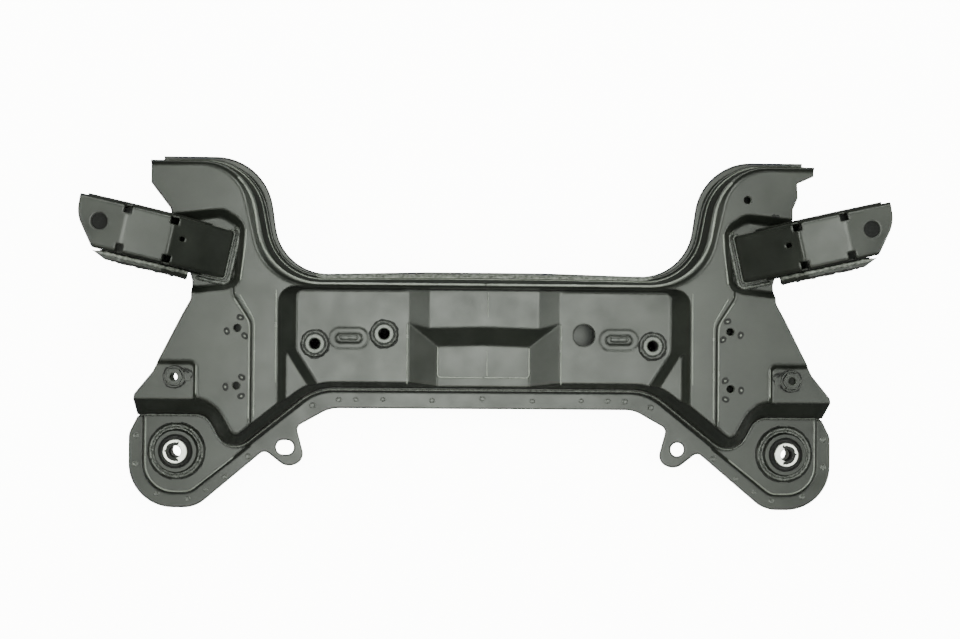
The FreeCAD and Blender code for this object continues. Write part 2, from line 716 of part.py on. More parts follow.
def bush_inner_sleeve():
    under, shoulder = INNER_HIGH - INNER_FLARE, INNER_HIGH - INNER_EDGE
    return turned([(HOLE_R, 0), (INNER_R, 0), (INNER_R, under), (FLARE_R, under), (FLARE_R, shoulder),
                   (FLARE_R - INNER_EDGE, INNER_HIGH), (HOLE_R + INNER_EDGE, INNER_HIGH), (HOLE_R, shoulder)])


# Steering rack tubes
def rack_tube(x, y):
    high = CENTRE_PANEL + TUBE_STAND
    shape = turned([(TUBE_BORE_R, FLOOR_TOP), (TUBE_R, FLOOR_TOP), (TUBE_R, high - TUBE_EDGE),
                    (TUBE_R - TUBE_EDGE, high), (TUBE_BORE_R + TUBE_EDGE, high),
                    (TUBE_BORE_R, high - TUBE_EDGE)])
    shape.translate(V(x, y, 0))
    return shape


def rack_weld(x, y):
    shape = turned([(TUBE_R, CENTRE_PANEL), (TUBE_R + WELD, CENTRE_PANEL),
                    (TUBE_R + WELD_CREST, CENTRE_PANEL + WELD_RISE),
                    (TUBE_R, CENTRE_PANEL + TUBE_STAND - TUBE_EDGE)])
    shape.translate(V(x, y, 0))
    return shape


# Nuts under and on the plates
def hexagon(x, y, z0, z1, across, bore):
    r = across / math.sqrt(3)
    turns = [math.radians(a) for a in range(0, 360, 60)]
    points = [(x + r * math.cos(a), y + r * math.sin(a)) for a in turns]
    return prism(points, z0, z1).cut(rod(x, y, z0 - OVER, z1 + OVER, bore))


def bar_nut(place, slots):
    # round nut whose three arms hook up through the slots of the plate
    x, y = place
    under = OUTER_PLATE - SHEET
    pieces = [rod(x, y, under - BAR_NUT_HIGH, under, BAR_NUT_R),
              rod(x, y, under, OUTER_PLATE - PILOT_SUNK, PILOT_R)]
    for a, b, turn in slots:
        span = math.hypot(a - x, b - y)
        arm = bar(0, span, -BAR_LUG / 2, BAR_LUG / 2, under - BAR_ARM, under)
        arm.rotate(V(0, 0, 0), V(0, 0, 1), math.degrees(math.atan2(b - y, a - x)))
        arm.translate(V(x, y, 0))
        pieces.append(arm)
        pieces.append(oblong(a, b, under - BAR_ARM, OUTER_PLATE, SLOT_LONG - 2 * BAR_LUG_PLAY,
                             SLOT_WIDE / 2 - BAR_LUG_PLAY, turn))
    return pieces[0].fuse(pieces[1:]).cut(rod(x, y, 0, SKY, NUT_BORE_R)).removeSplitter()


def bar_nuts():
    return [bar_nut(place, slots) for place, slots in zip(BAR_HOLES, BAR_SLOTS)]


def arm_cage():
    # sheet cage with a tongue toward the middle and two curved claws round the nut
    x, y = ARM_NUT
    base = rod(x, y, NUT_PAD, NUT_PAD + CAGE, CAGE_R)
    half = CAGE_GAP / 2
    base = base.fuse(bar(x - CAGE_R - CAGE_TONGUE, x, y - half, y + half, NUT_PAD, NUT_PAD + CAGE))
    claws = tube(x, y, NUT_PAD, NUT_PAD + CAGE_HIGH, CAGE_R, CAGE_R - CAGE_WALL)
    gap = bar(-FAR, FAR, -half, half, 0, SKY)
    gap.rotate(V(0, 0, 0), V(0, 0, 1), CAGE_TURN)
    gap.translate(V(x, y, 0))
    base = base.fuse(claws.cut(gap))
    return base.cut(rod(x, y, 0, SKY, PILOT_HOLE_R)).removeSplitter()


def arm_nut():
    x, y = ARM_NUT
    low = NUT_PAD + CAGE
    top = low + ARM_NUT_HIGH
    shape = hexagon(x, y, low, top, ARM_NUT_WIDE, NUT_BORE_R)
    collar = tube(x, y, top, top + ARM_COLLAR_HIGH, ARM_COLLAR_R, NUT_BORE_R)
    pilot = tube(x, y, NUT_PAD - SHEET + PILOT_SUNK, low, PILOT_R, NUT_BORE_R)
    return shape.fuse([collar, pilot]).removeSplitter()


def ear_nut():
    high = STRIP - SHEET
    shape = hexagon(*EAR_NUT, high - EAR_NUT_HIGH, high, ARM_NUT_WIDE, NUT_BORE_R)
    return shape.fuse(tube(*EAR_NUT, high, STRIP - PILOT_SUNK, PILOT_R, NUT_BORE_R)).removeSplitter()


def side_web():
    # channel that closes the inner side of the control arm pocket
    x = WEB_X
    high = STRIP - SHEET
    block = bar(x, x + WEB_FLANGE, WEB_REAR, WEB_FRONT, SIDE_FLOOR, high)
    inside = bar(x + SHEET, x + WEB_FLANGE + OVER, WEB_REAR - OVER, WEB_FRONT + OVER, SIDE_FLOOR + SHEET,
                 high - SHEET)
    return block.cut(inside)


def grouped(shapes):
    return Part.makeCompound(shapes)


def placed(name, make):
    # the same piece on both sides
    shape = make()
    return {name + "_right": shape, name + "_left": mirror(shape)}


def pieces():
    found = {"upper_shell": upper_shell(), "lower_shell": lower_shell(), "rear_flange": rear_flange()}
    found.update(lobe_plates())
    found.update(placed("horn_upper_channel", horn_upper_channel))
    found.update(placed("horn_lower_channel", horn_lower_channel))
    for name, make in (("bush_housing", bush_housing), ("bush_outer_sleeve", bush_outer_sleeve),
                       ("bush_rubber", bush_rubber), ("bush_inner_sleeve", bush_inner_sleeve)):
        found.update(placed(name, lambda: bush(make)))
    for name, place in zip(("outer_right", "outer_left", "inner_left"), rack_places()):
        found["rack_tube_" + name] = rack_tube(*place)
    found["rack_tube_welds"] = grouped([rack_weld(*place) for place in rack_places()])
    nuts = bar_nuts()
    found["stabiliser_nuts_right"] = grouped(nuts)
    found["stabiliser_nuts_left"] = grouped([mirror(n) for n in nuts])
    found.update(placed("arm_nut_cage", arm_cage))
    found.update(placed("arm_nut", arm_nut))
    found.update(placed("pocket_web", side_web))
    found["ear_nut_right"] = ear_nut()
    return found


def main():
    # the finished part stands with the middle of its length and width over the origin
    os.makedirs("parts", exist_ok=True)
    front, rear = max(p[1] for p in LIP), min(p[1] for p in FLANGE)
    for name, shape in pieces().items():
        shape.translate(V(0, -(front + rear) / 2, 0))
        shape.exportStep("parts/%s.step" % name)


main()
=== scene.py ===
"""Looks of a pressed-steel front subframe.

Finishes for its solids, its welds, pressed edges and threads, with painted highlights on pressed
edges, lugs and some welds and painted shade in gaps, slots and bores, and a stage for the camera.
"""

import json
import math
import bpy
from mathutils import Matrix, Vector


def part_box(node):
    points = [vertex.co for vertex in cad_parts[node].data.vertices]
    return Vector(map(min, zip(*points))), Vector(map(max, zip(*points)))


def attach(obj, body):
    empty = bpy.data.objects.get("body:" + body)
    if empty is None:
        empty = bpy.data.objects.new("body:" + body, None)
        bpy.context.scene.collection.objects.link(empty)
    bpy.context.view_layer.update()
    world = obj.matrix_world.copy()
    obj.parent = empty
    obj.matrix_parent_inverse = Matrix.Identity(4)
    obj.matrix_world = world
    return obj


bl_info = {
    "name": "Subframe looks",
    "version": (1, 0, 0),
    "blender": (4, 5, 0),
    "location": "View3D > Sidebar > Subframe",
    "description": "Finishes the shells, horns and bushes of a front subframe, with its welds",
    "category": "Object",
}

import bpy
import numpy as np
from mathutils import Matrix, Vector

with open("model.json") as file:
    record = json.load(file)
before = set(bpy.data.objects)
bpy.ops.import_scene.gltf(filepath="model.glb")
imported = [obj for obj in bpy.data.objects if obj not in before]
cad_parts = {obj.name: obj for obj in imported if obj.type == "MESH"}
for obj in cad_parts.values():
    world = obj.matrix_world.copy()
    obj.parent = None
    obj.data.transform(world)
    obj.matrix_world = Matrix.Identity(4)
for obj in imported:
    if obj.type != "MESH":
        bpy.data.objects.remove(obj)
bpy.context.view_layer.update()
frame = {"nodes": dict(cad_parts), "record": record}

MM = 0.001


def corners(node):
    """Lowest and highest corner of a solid's box, as arrays in metres."""
    low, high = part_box(node)
    return np.array(low), np.array(high)


# Levels in metres, taken from the boxes of the solids and the depths of the pressing
RIM = corners("upper_shell")[1][2]
STRIP, OUTER_PLATE, NUT_PAD, HORN_POCKET = (RIM - d * MM for d in (5, 8, 13, 20))
CENTRE_PANEL, LIP_TOP = RIM - 30 * MM, RIM - 38 * MM
TROUGH_UPPER, TROUGH_LOWER = RIM - 33.6 * MM, RIM - 51.6 * MM
HORN_INSIDE = RIM + 28.3 * MM
LEDGE = corners("rear_flange")[1][2]
FLANGE_TOP, LOBE_PLATE = LEDGE - 16 * MM, LEDGE - 8 * MM
HOUSING_FLANGE = LOBE_PLATE + 3 * MM
UNDER_FLANGE = corners("lobe_plate_right")[0][2]
SLEEVE_TOP = corners("bush_inner_sleeve_right")[1][2]
TUBE_FOOT, TUBE_TOP = (corner[2] for corner in corners("rack_tube_outer_right"))

# Places in millimetres on the drawing, x outward and y to the front. The drawing's middle line
# lies in front of the middle of the part by this much
SHIFT_Y = 19 * MM
BUSH = (374.5, -163.0)
HOUSING_FLANGE_R, SLEEVE_BORE_R = 34.5, 7.4
RACK_TUBES = ((205.0, -30.5), (-205.0, -30.5), (-121.5, -18.0))
TUBE_R, TUBE_BORE_R = 12.0, 6.5
STABILISER_NUTS = ((296.5, -12.5), (297.0, -81.5))
ARM_NUT = (371.0, -71.5)
EAR_NUT = (316.0, 147.0)
NUT_BORE_R, NUT_COLLAR_R, THREAD_PITCH = 5.1, 11.0, 1.5
HORN_ROOT, HORN_TURN, HORN_HOLE = (314.5, 76.5), math.radians(12.5), (138.0, 2.0)
PAD = (164.0, -22.8)
PAD_HALF = 12.0

# Slots round the stabiliser nuts: x, y and turn in degrees
SLOTS = ((293, 0, 10), (309, -16.5, 70), (287.5, -22, 40),
         (290.5, -71.5, 30), (310, -83, 80), (291, -94, -30))
# Spot welds of the flange: the one in the middle and those on the right
MIDDLE_SPOT = (0, -96.8)
SPOTS = [(62, -99.5), (122.6, -98.7), (156, -99), (177, -99.3), (209, -106.4), (287.5, -169.5),
         (316, -194.7), (339, -210.8), (361, -221.9), (399.5, -216), (425.6, -179.3), (425.1, -145)]

# Outlines on the drawing; a third number is the corner's radius
FRONT_FOOT = [(0, 53.2), (248.8, 51.3, 64.5), (276.2, 190.1, 72), (377, 190.1)]
FRONT_HEM = [(0, 48.8), (251, 46.8, 68), (279.3, 188.4, 70), (389, 188.4)]
FRONT_CREST = [(0, 41.6), (262.5, 41.4, 76), (285.2, 187.6, 71), (330, 187.6)]
FRONT_LIP = [(72, 56.6), (246, 52.2, 64), (266.4, 193.8, 69.5), (376, 193.8)]
REAR_RIM = [(412, -118.6), (338.6, -118.6, 22), (310.2, -170.2, 25), (205, -86.6, 65), (0, -86.6)]
# The short weld mark on the right ear
EAR_MARK = [(345, 128.6), (355, 127)]
# Half lengths of the straight part of the wall's foot and of the seam on it, where the seam's
# plain ends begin, and where the crest line stops on y
STRAIGHT_HALF, SEAM_HALF, SEAM_ENDS, CREST_STOP = 200.0, 205.0, 198.0, 168.0

# Outlines on the horn's own drawing, along and across it, and the levels of its side flange
HORN_WELD = [(-5, 33.0), (-13.6, 33.0, 6), (-13.6, -35.0, 8), (27, -35.0)]
HORN_FOOT = [(0, 29.6), (-7.6, 29.6, 3), (-7.6, -29.6, 4), (25, -29.6)]
HORN_SIDE_SEAM = [(u, -32.6) for u in (34, 62, 109, 137)]
HORN_SIDE_EDGE = [(u, -39.2) for u in (34, 62, 109, 118)]
HORN_SIDE = ((24, 62, 109, 150),
             (HORN_POCKET + 10 * MM, RIM + 34 * MM, RIM + 50 * MM, RIM + 50 * MM))

# Pressed edges drawn as painted highlight lines: the way on the drawing and its level
EDGE_LINES = (
    # the two edges of the step between the side strip and the side plate
    ([(275.8, -119), (275.8, -3, 26), (294, 28)], STRIP),
    ([(282.4, -122), (282.4, -5, 26), (301, 23)], OUTER_PLATE),
    # the edge of the horn pocket, and the blob where it meets the step
    ([(286.6, 106), (287.4, 88, 60), (293, 44)], STRIP),
    ([(298, 30), (300, 29)], STRIP),
    # the wall round the lobe
    ([(412.4, -121), (412.4, -212.6, 35), (358.6, -212.6, 21), (305, -170)], LOBE_PLATE),
    # the sides of the trough, its lower panel, and the borders of the nut pad and the recess
    ([(93.4, -5), (93.4, -79)], CENTRE_PANEL),
    ([(56, -33), (56, -70.5, 4), (0, -70.5)], TROUGH_LOWER),
    ([(345, -56), (345, -93)], NUT_PAD + 4 * MM),
    ([(250.2, 34), (250.2, -78)], STRIP),
)
# The crease in the middle of the trough, drawn as a painted highlight line: from and to on y, and
# the level
CREASES = ((-36, -70, TROUGH_LOWER), (2, 36, TROUGH_UPPER))
CREASE_X = 4.5


# Finishes
GLOSS_SPREAD = 0.05
# Nearly all of a noise texture lies between these two values
NOISE_LOW, NOISE_HIGH = 0.32, 0.68


def linear(code):
    """Linear colour of an sRGB hex code."""
    values = [int(code[k:k + 2], 16) / 255 for k in (1, 3, 5)]
    return [v / 12.92 if v <= 0.04045 else ((v + 0.055) / 1.055) ** 2.4 for v in values] + [1.0]


def add(tree, kind, links=(), **values):
    """Adds a node, sets its sockets or properties by name, and links (output, socket) pairs."""
    node = tree.nodes.new(kind)
    sockets = {s.name.lower(): s for s in reversed(node.inputs)}
    for name, value in values.items():
        key = name.replace("_", " ").lower()
        if key in sockets:
            sockets[key].default_value = value
        else:
            setattr(node, name, value)
    for output, socket in links:
        tree.links.new(output, node.inputs[socket])
    return node


def noise(tree, place, size, low, high, detail):
    """Blotches about size metres wide, mapped to the range low to high."""
    blotch = add(tree, "ShaderNodeTexNoise", [(place, "Vector")], Scale=1 / size, Detail=detail)
    return add(tree, "ShaderNodeMapRange", [(blotch.outputs["Fac"], "Value")],
               From_Min=NOISE_LOW, From_Max=NOISE_HIGH, To_Min=low, To_Max=high).outputs["Result"]


def finish(name, dark, light, roughness, grain, depth, blotch, edge=0.0, metallic=0.0):
    """Material with two-colour blotches, uneven gloss and a grain in relief.

    Colours are linear. In millimetres: grain and depth are the relief's width and height, blotch
    is the width of the colour's patches, and edge is the radius that corners are shaded with.
    """
    material = bpy.data.materials.new(name)
    material.use_nodes = True
    tree = material.node_tree
    shader = tree.nodes["Principled BSDF"]
    place = tree.nodes.new("ShaderNodeTexCoord").outputs["Object"]
    shader.inputs["Metallic"].default_value = metallic
    ramp = tree.nodes.new("ShaderNodeValToRGB")
    ramp.color_ramp.elements[0].color = dark
    ramp.color_ramp.elements[1].color = light
    tree.links.new(noise(tree, place, blotch * MM, 0.0, 1.0, 5.0), ramp.inputs["Fac"])
    tree.links.new(ramp.outputs["Color"], shader.inputs["Base Color"])
    gloss = noise(tree, place, blotch * 0.6 * MM,
                  roughness - GLOSS_SPREAD, roughness + GLOSS_SPREAD, 4.0)
    tree.links.new(gloss, shader.inputs["Roughness"])
    fine = add(tree, "ShaderNodeTexNoise", [(place, "Vector")], Scale=1 / (grain * MM), Detail=2.0)
    bump = add(tree, "ShaderNodeBump", [(fine.outputs["Fac"], "Height")],
               Strength=1.0, Distance=depth * MM)
    if edge:
        rounded_edge = add(tree, "ShaderNodeBevel", samples=8, Radius=edge * MM)
        tree.links.new(rounded_edge.outputs["Normal"], bump.inputs["Normal"])
    tree.links.new(bump.outputs["Normal"], shader.inputs["Normal"])
    return material


# Surfaces: every shape is a pair of arrays, its points in metres and its four-sided faces
def sheet(grid, wrap_rows=False, wrap_columns=False):
    """One face per cell of a grid of points (rows, columns, xyz), joined round where wrapped."""
    rows, columns = grid.shape[:2]
    index = np.arange(rows * columns).reshape(rows, columns)
    if wrap_rows:
        index = np.vstack([index, index[:1]])
    if wrap_columns:
        index = np.hstack([index, index[:, :1]])
    quads = np.stack([index[:-1, :-1], index[1:, :-1], index[1:, 1:], index[:-1, 1:]], axis=-1)
    return grid.reshape(-1, 3), quads.reshape(-1, 4)


def all_round(count):
    """Angles of so many even steps round a full turn."""
    return np.linspace(0, 2 * np.pi, count + 1)[:-1]


def joined(parts):
    """One shape from several."""
    counts = np.cumsum([0] + [len(points) for points, _ in parts])
    return (np.vstack([points for points, _ in parts]),
            np.vstack([faces + n for (_, faces), n in zip(parts, counts)]))


def both(part):
    """The shape and its mirror image on the other side of the middle."""
    points, faces = part
    return joined([part, (points * (-1, 1, 1), faces[:, ::-1])])


def volume(points, faces):
    """Six times the signed volume inside the faces, positive where they point outward."""
    a, b, c, d = (points[faces[:, k]] for k in range(4))
    return (np.einsum("ij,ij->i", a, np.cross(b, c))
            + np.einsum("ij,ij->i", a, np.cross(c, d))).sum()


def piece(name, part, finish_name):
    """Makes the shape an object that rides on the part, with its faces turned outward."""
    points, faces = part
    if volume(points, faces) < 0:
        faces = faces[:, ::-1]
    mesh = bpy.data.meshes.new(name)
    mesh.from_pydata(points.tolist(), [], faces.tolist())
    mesh.polygons.foreach_set("use_smooth", np.full(len(mesh.polygons), True))
    mesh.materials.append(bpy.data.materials[finish_name])
    made = bpy.data.objects.new(name, mesh)
    bpy.context.scene.collection.objects.link(made)
    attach(made, "root")


def rounded(points, z, steps=14):
    """Path in metres through the points, with an arc at each corner that has a radius.

    The arc's middle lies on the corner's bisector, and its points turn evenly about that middle
    from the foot on one side to the foot on the other.
    """
    path = []
    for k, point in enumerate(points):
        here = np.array(point[:2], float)
        if len(point) == 2:
            path.append(here[None])
            continue
        radius = point[2]
        back = np.array(points[k - 1][:2]) - here
        on = np.array(points[k + 1][:2]) - here
        back, on = back / np.linalg.norm(back), on / np.linalg.norm(on)
        half = math.acos(np.clip(back @ on, -1, 1)) / 2
        middle = here + (back + on) / np.linalg.norm(back + on) * radius / math.sin(half)
        first = here + back * radius / math.tan(half) - middle
        last = here + on * radius / math.tan(half) - middle
        t = np.linspace(0, 1, steps)[:, None]
        turn = math.pi - 2 * half
        arc = (np.sin((1 - t) * turn) * first + np.sin(t * turn) * last) / math.sin(turn)
        path.append(middle + arc)
    flat = np.vstack(path)
    return np.column_stack([flat[:, 0] * MM, flat[:, 1] * MM + SHIFT_Y, np.full(len(flat), z)])


def whole(points):
    """An outline that starts or ends at the middle, with its mirror image joined there."""
    other = [(-p[0],) + tuple(p[1:]) for p in points]
    return other[::-1][:-1] + points if points[0][0] == 0 else points[:-1] + other[::-1]


def circle(x, y, r, z, start=0, end=360, flat=1.0, turn=0):
    """Points of an arc about x, y from start to end in degrees, squashed by flat, then turned."""
    a = np.radians(np.linspace(start, end, 73))
    u, v = r * np.cos(a), r * flat * np.sin(a)
    c, k = math.cos(math.radians(turn)), math.sin(math.radians(turn))
    return np.column_stack([(x + u * c - v * k) * MM, (y + u * k + v * c) * MM + SHIFT_Y,
                            np.full(len(a), z)])


def horn_place(points, z):
    """Path on the horn's own drawing, turned and moved to its place.

    z is one level, or a pair of lists: distances along the horn and the levels there.
    """
    c, s = math.cos(HORN_TURN), math.sin(HORN_TURN)
    flat = rounded(points, 0.0)
    u, v = flat[:, 0], flat[:, 1] - SHIFT_Y
    level = np.full(len(u), z) if np.isscalar(z) else np.interp(u / MM, z[0], z[1])
    x = HORN_ROOT[0] * MM + u * c - v * s
    y = HORN_ROOT[1] * MM + u * s + v * c + SHIFT_Y
    return np.column_stack([x, y, level])


# Radians per millimetre of the waves in a bead's size (two), in its way and in its rare lumps
SLOW, QUICK, SWAY, LUMPY = 0.31, 0.83, 0.57, 0.117
# Swelling of a ripple, depth of the underside to the height, and longest step along it in mm
RIPPLE, UNDERSIDE, STEP = 0.14, 0.35, 1.5


def bead(path, width, height, pitch, lean=0.0, rough=0.12, seed=0.0, closed=False, lumps=0.0):
    """Weld bead: an ellipse width mm across and height mm high, flattened below, on the path.

    Its size swells by a seventh with each ripple of the pitch and wanders with two slow waves;
    lumps adds rare swellings, lean tips it in degrees to the right of the path, and an open bead
    shrinks to a point at both ends over half its width.
    """
    ahead = np.r_[0, np.cumsum(np.linalg.norm(np.diff(path, axis=0), axis=1))]
    count = int(ahead[-1] / (min(pitch / 4, STEP) * MM)) + 2
    along = np.linspace(0, ahead[-1], count)
    line = np.stack([np.interp(along, ahead, path[:, k]) for k in range(3)], axis=1)
    if closed:
        line, along = line[:-1], along[:-1]
        forward = np.roll(line, -1, 0) - np.roll(line, 1, 0)
    else:
        forward = np.gradient(line, axis=0)
    forward /= np.linalg.norm(forward, axis=1)[:, None]
    level = np.cross(forward, (0.0, 0.0, 1.0))
    level /= np.linalg.norm(level, axis=1)[:, None]
    upward = np.cross(level, forward)
    c, k = math.cos(math.radians(lean)), math.sin(math.radians(lean))
    across, lift = level * c - upward * k, upward * c + level * k
    mm = along / MM
    swell = 1 + RIPPLE * np.abs(np.sin(np.pi * mm / pitch))
    swell += rough * (0.6 * np.sin(mm * SLOW + seed) + 0.4 * np.sin(mm * QUICK + 2.1 * seed))
    # only the tops of this wave count, above four fifths
    swell += lumps * (np.clip(np.sin(mm * LUMPY + 3 * seed), 0.8, 1) * 5 - 4)
    if not closed:
        to_end = np.minimum(along, along[-1] - along)
        swell = swell * np.sqrt(np.clip(to_end / (width * MM / 2), 0, 1))
    turn = all_round(16)
    bow = np.where(np.sin(turn) > 0, np.sin(turn), UNDERSIDE * np.sin(turn))
    side = (swell * width * MM / 2)[:, None] * np.cos(turn)
    side = side + (rough * 0.5 * MM * np.sin(mm * SWAY + seed))[:, None]
    rise = (swell * height * MM)[:, None] * bow
    grid = line[:, None] + side[..., None] * across[:, None] + rise[..., None] * lift[:, None]
    return sheet(grid, wrap_rows=closed, wrap_columns=True)


def band(x, y, inner, outer, low, high):
    """Ring of rectangular section about x, y, turned about the upright axis.

    Two rows just inside its upper corners keep the shading of its top flat.
    """
    r = np.array([inner, inner + 0.05, outer - 0.05, outer, outer, inner])
    z = np.array([high, high, high, high, low, low])
    a = all_round(64)
    grid = np.stack([(x + np.outer(r, np.cos(a))) * MM, (y + np.outer(r, np.sin(a))) * MM + SHIFT_Y,
                     np.outer(z, np.ones_like(a))], axis=-1)
    return sheet(grid, wrap_rows=True, wrap_columns=True)


def shade_lining(x, y, bore, low, high):
    """Painted shade lining a bore, from a hair inside its wall to just behind it."""
    return band(x, y, bore - 0.04, bore + 0.1, low, high)


def spot_marks(places, z, radius, up=1):
    """Spot weld marks: slightly oval discs with a ridge round a dimple, in sizes that differ.

    The height is a bell round the ridge at three quarters of the radius, over a low plate whose
    rim and base lie below the sheet; up is -1 for marks on an underside.
    """
    ridge, spread, base, oval = 0.74, 0.14, -0.12, 0.86
    r = np.array([0, 0.3, 0.5, 0.62, ridge, 0.86, 0.94, 1.0, 0.9, 0])
    h = 0.10 + 0.34 * np.exp(-((r - ridge) / spread) ** 2)
    h[7:] = base
    a = all_round(24)
    parts = []
    for k, (x, y) in enumerate(places):
        size = radius * (1 + 0.14 * math.sin(5.3 * k))
        ring = np.stack([np.outer(r, np.cos(a)) * size * MM + x * MM,
                         np.outer(r, np.sin(a)) * size * oval * MM + y * MM + SHIFT_Y,
                         np.outer(h * up * MM, np.ones_like(a)) + z], axis=-1)
        parts.append(sheet(ring, wrap_columns=True))
    return joined(parts)


def thread(x, y, low, high):
    """Thread of a nut: a ridge of triangular section carried along a helix on the bore's wall.

    The section's middle point stands a thread's depth inside the wall, its outer two lie just
    behind the wall, and all three close up at both ends of the helix.
    """
    depth, behind, flank, steps, run_out = 0.62, 0.05, 0.42, 24, 1.5
    turns = (high - low) / MM / THREAD_PITCH - 1
    a = np.arange(0, turns * steps + 1) / steps * 2 * np.pi
    z = low + THREAD_PITCH * MM * (0.5 + a / (2 * np.pi))
    rise = np.clip(np.minimum(a, a[-1] - a) / run_out, 0, 1)[:, None]
    r = NUT_BORE_R - np.array([0.0, depth, 0.0]) * rise + np.array([behind, 0, behind])
    up = np.array([-flank, 0, flank]) * THREAD_PITCH * rise
    grid = np.stack([(x + r * np.cos(a)[:, None]) * MM, (y + r * np.sin(a)[:, None]) * MM + SHIFT_Y,
                     z[:, None] + up * MM], axis=-1)
    return sheet(grid, wrap_columns=True)


# Sizes and colours that a user would change
class FinishSettings(bpy.types.PropertyGroup):
    """Coat of the pressed steel"""
    coat_dark: bpy.props.FloatVectorProperty(
        name="Coat, darker", description="Darker colour of the electro-coat",
        default=linear("#141613"), size=4, min=0.0, max=1.0, subtype="COLOR")
    coat_light: bpy.props.FloatVectorProperty(
        name="Coat, lighter", description="Lighter colour of the electro-coat",
        default=linear("#1f211d"), size=4, min=0.0, max=1.0, subtype="COLOR")
    coat_roughness: bpy.props.FloatProperty(
        name="Coat roughness", description="Roughness of the electro-coat",
        default=0.34, min=0.05, max=1.0, subtype="FACTOR")
    edge: bpy.props.FloatProperty(
        name="Edge radius", description="Radius that the pressed edges are shaded with",
        default=3.6 * MM, min=0.0, subtype="DISTANCE")
    peel: bpy.props.FloatProperty(
        name="Peel", description="Width of the coat's fine dimples",
        default=1.3 * MM, min=0.1 * MM, subtype="DISTANCE")


class WeldSettings(bpy.types.PropertyGroup):
    """Sizes of the welds"""
    width: bpy.props.FloatProperty(
        name="Bead width", description="Width of the seam welds",
        default=5.0 * MM, min=0.5 * MM, subtype="DISTANCE")
    height: bpy.props.FloatProperty(
        name="Bead height", description="Height of the seam welds",
        default=1.9 * MM, min=0.1 * MM, subtype="DISTANCE")
    pitch: bpy.props.FloatProperty(
        name="Ripple pitch", description="Distance between the ripples of a seam weld",
        default=2.6 * MM, min=0.5 * MM, subtype="DISTANCE")
    spot: bpy.props.FloatProperty(
        name="Spot radius", description="Radius of a spot weld's mark",
        default=4.0 * MM, min=0.5 * MM, subtype="DISTANCE")


class StageSettings(bpy.types.PropertyGroup):
    """Floor and light"""
    floor: bpy.props.FloatVectorProperty(
        name="Floor", description="Colour of the floor",
        default=linear("#f6f6f4"), size=4, min=0.0, max=1.0, subtype="COLOR")
    glow: bpy.props.FloatProperty(
        name="Floor glow", description="Strength of the light that the floor gives off",
        default=12.0, min=0.0)
    key: bpy.props.FloatProperty(
        name="Key", description="Power of the large overhead light",
        default=66.0, min=0.0, unit="POWER")
    strip: bpy.props.FloatProperty(
        name="Strips", description="Power of each strip light round the part",
        default=34.0, min=0.0, unit="POWER")
    room: bpy.props.FloatProperty(
        name="Room", description="Strength of the even light of the room",
        default=0.12, min=0.0)


def weld_sizes(context):
    """Width, height and ripple pitch of the seam welds in millimetres."""
    s = context.scene.subframe_weld
    return s.width / MM, s.height / MM, s.pitch / MM


class SUBFRAME_OT_finishes(bpy.types.Operator):
    """Gives each solid the finish of the real piece"""
    bl_idname = "subframe.finishes"
    bl_label = "Finishes"

    # Solids of the coated sheet that are smaller than this have fine edges
    small_piece = 90 * MM

    def execute(self, context):
        s = context.scene.subframe_finish
        coat = {"dark": s.coat_dark, "light": s.coat_light, "grain": s.peel / MM}
        # A pixel of the render is 1.2 mm wide and the coat's real peel is finer than that, so
        # peel and turning marks are drawn about a pixel wide, which is the finest that shows
        finishes = {
            # dipped and baked black coat, satin, with faint dimples and thin places
            "ecoat": finish("satin_black_electrocoat", **coat, roughness=s.coat_roughness,
                            depth=0.012, blotch=55.0, edge=s.edge / MM),
            # turned end of the bush sleeve, pale and dull
            "bare_steel": finish("turned_bare_steel", linear("#cfcfca"), linear("#ecece8"),
                                 roughness=0.42, grain=0.6, depth=0.01, blotch=8.0, edge=0.4,
                                 metallic=1.0),
            # cut tube ends under the coat, a shade lighter and smoother than the sheet
            "zinc_steel": finish("dull_zinc_plate", linear("#343733"), linear("#484b46"),
                                 roughness=0.28, grain=0.7, depth=0.02, blotch=6.0, edge=0.6),
            # bonded rubber, matt
            "rubber": finish("matt_black_rubber", linear("#060606"), linear("#0d0d0d"),
                             roughness=0.7, grain=0.9, depth=0.03, blotch=10.0, edge=0.5),
        }
        # the same coat on nuts, ridges and small pieces, whose edges are finer
        small = finish("fine_edged_electrocoat", **coat, roughness=s.coat_roughness - 0.02,
                       depth=0.01, blotch=30.0, edge=0.5)
        # the coat on flat rims, without any rounding of its own
        finish("plain_electrocoat", **coat, roughness=s.coat_roughness, depth=0.012, blotch=55.0)
        # painted highlight: a paler, glossier coat on the crest of a pressed edge, standing in for
        # the light it catches
        finish("painted_highlight_edge_coat", linear("#4a4d48"), linear("#5d605a"),
               roughness=0.24, grain=s.peel / MM, depth=0.006, blotch=30.0)
        # weld metal under the coat, a little rough and uneven
        finish("coated_weld_metal", linear("#1d1f1c"), linear("#40423e"),
               roughness=0.28, grain=1.1, depth=0.18, blotch=4.0)
        # rough seam on the front wall and along the horns, its colour painted paler as a highlight
        # where it catches the light
        finish("weld_metal_painted_highlight", linear("#3c3e3a"), linear("#7c7e79"),
               roughness=0.36, grain=1.5, depth=0.28, blotch=4.0)
        # painted shade, near-black and matt: in the gaps beside the welds, round the slots, at the
        # lip's edge, in the bores and under the horn's hole; also the dark mark on the ear
        finish("painted_shade_and_dark_marks", linear("#040404"), linear("#090909"),
               roughness=0.8, grain=0.8, depth=0.2, blotch=4.0)
        slots = {p["node"]: p["material_slot"] for p in frame["record"]["subparts"]}
        for name, node in frame["nodes"].items():
            if not node.data.materials:
                node.data.materials.append(None)
            low, high = corners(name)
            fine = slots[name] == "ecoat" and max(high - low) < self.small_piece
            for k in range(len(node.data.materials)):
                node.data.materials[k] = small if fine else finishes[slots[name]]
        return {"FINISHED"}


